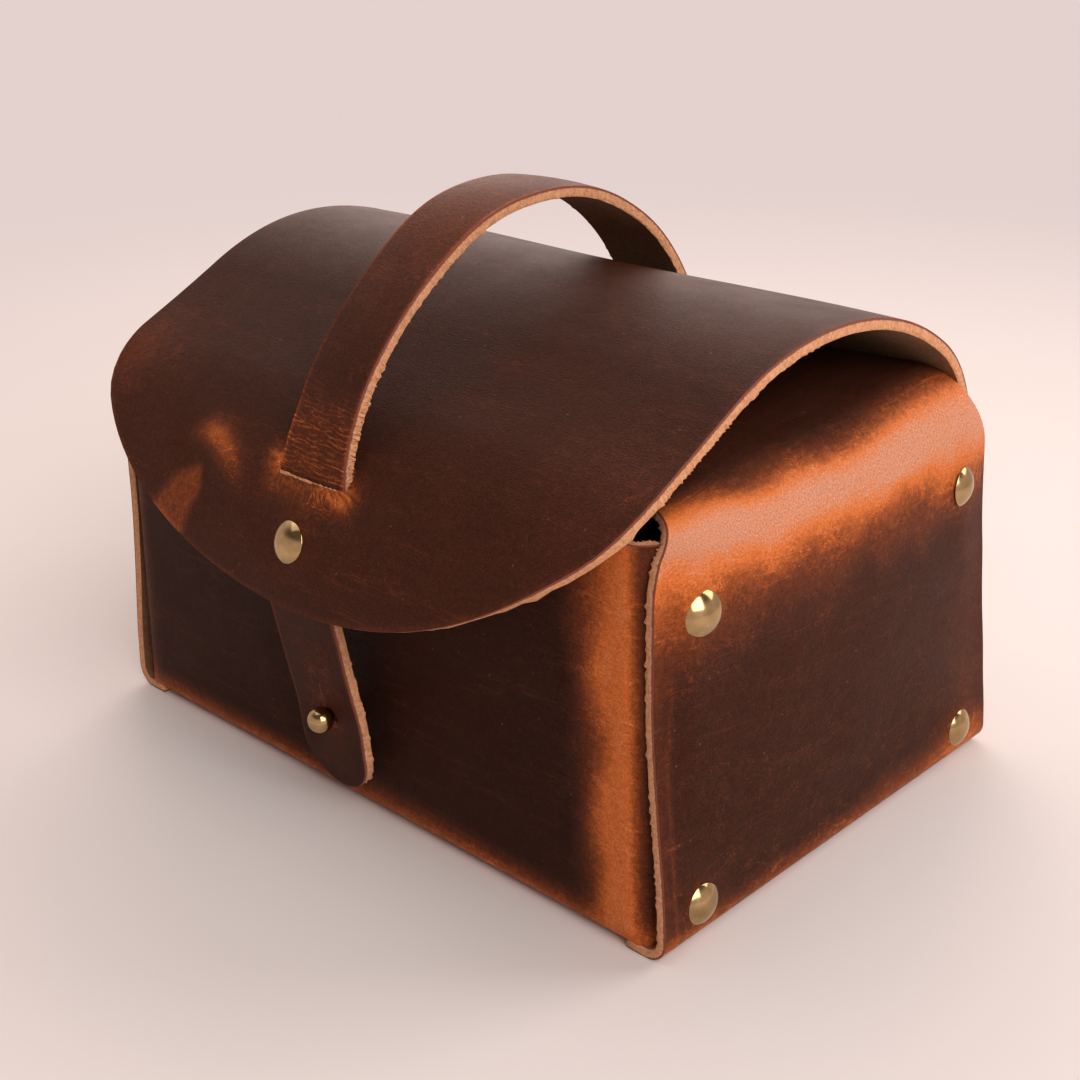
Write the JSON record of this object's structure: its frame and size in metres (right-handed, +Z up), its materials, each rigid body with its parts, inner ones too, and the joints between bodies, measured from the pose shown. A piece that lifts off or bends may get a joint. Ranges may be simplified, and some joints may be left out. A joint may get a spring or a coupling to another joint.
{
  "type": "leather case",
  "caption": "Folded leather case with an arched lid, tuck-in end flaps and a strap that serves as handle and closing tab, buttoned onto a ball stud.",
  "frame": {"origin": "middle of the base, on the surface the case stands on", "axes": "+X along the case's length towards its right end, front with the closing tab at -Y, +Z up"},
  "size_m": [0.2198, 0.1709, 0.1634],
  "materials": {
    "leather": "waxed pull-up, worn lighter at the bends",
    "brass": "satin"
  },
  "bodies": {
    "tub": {"tub": "leather", "end_rivet_caps_left": "brass", "end_rivet_caps_right": "brass", "end_rivet_posts_left": "brass", "end_rivet_posts_right": "brass", "closure_stud": "brass", "stud_screw": "brass"},
    "lid": {"lid": "leather", "handle_strap": "leather", "strap_rivet_caps": "brass", "strap_rivet_posts": "brass"},
    "end_flap_left": {"end_flap_left": "leather"},
    "end_flap_right": {"end_flap_right": "leather"},
    "closure_tab": {"closure_tab": "leather"}
  },
  "joints": [
    {"name": "lid_hinge", "type": "hinge", "parent": "tub", "child": "lid", "pos_m": [0, 0.06694, 0.094], "axis": [-1, 0, 0], "range_deg": [0, 150]},
    {"name": "flap_fold_right", "type": "hinge", "parent": "tub", "child": "end_flap_right", "pos_m": [0.09997, 0, 0.10927], "axis": [0, 1, 0], "range_deg": [0, 100]},
    {"name": "flap_fold_left", "type": "hinge", "parent": "tub", "child": "end_flap_left", "pos_m": [-0.09997, 0, 0.10927], "axis": [0, -1, 0], "range_deg": [0, 100]},
    {"name": "tab_fold", "type": "hinge", "parent": "lid", "child": "closure_tab", "pos_m": [0, -0.09162, 0.06473], "axis": [-1, 0, 0], "range_deg": [0, 75]}
  ],
  "couplings": [
    {"joint": "flap_fold_right", "follows": "lid_hinge", "ratio": 0.66},
    {"joint": "flap_fold_left", "follows": "lid_hinge", "ratio": 0.66}
  ]
}
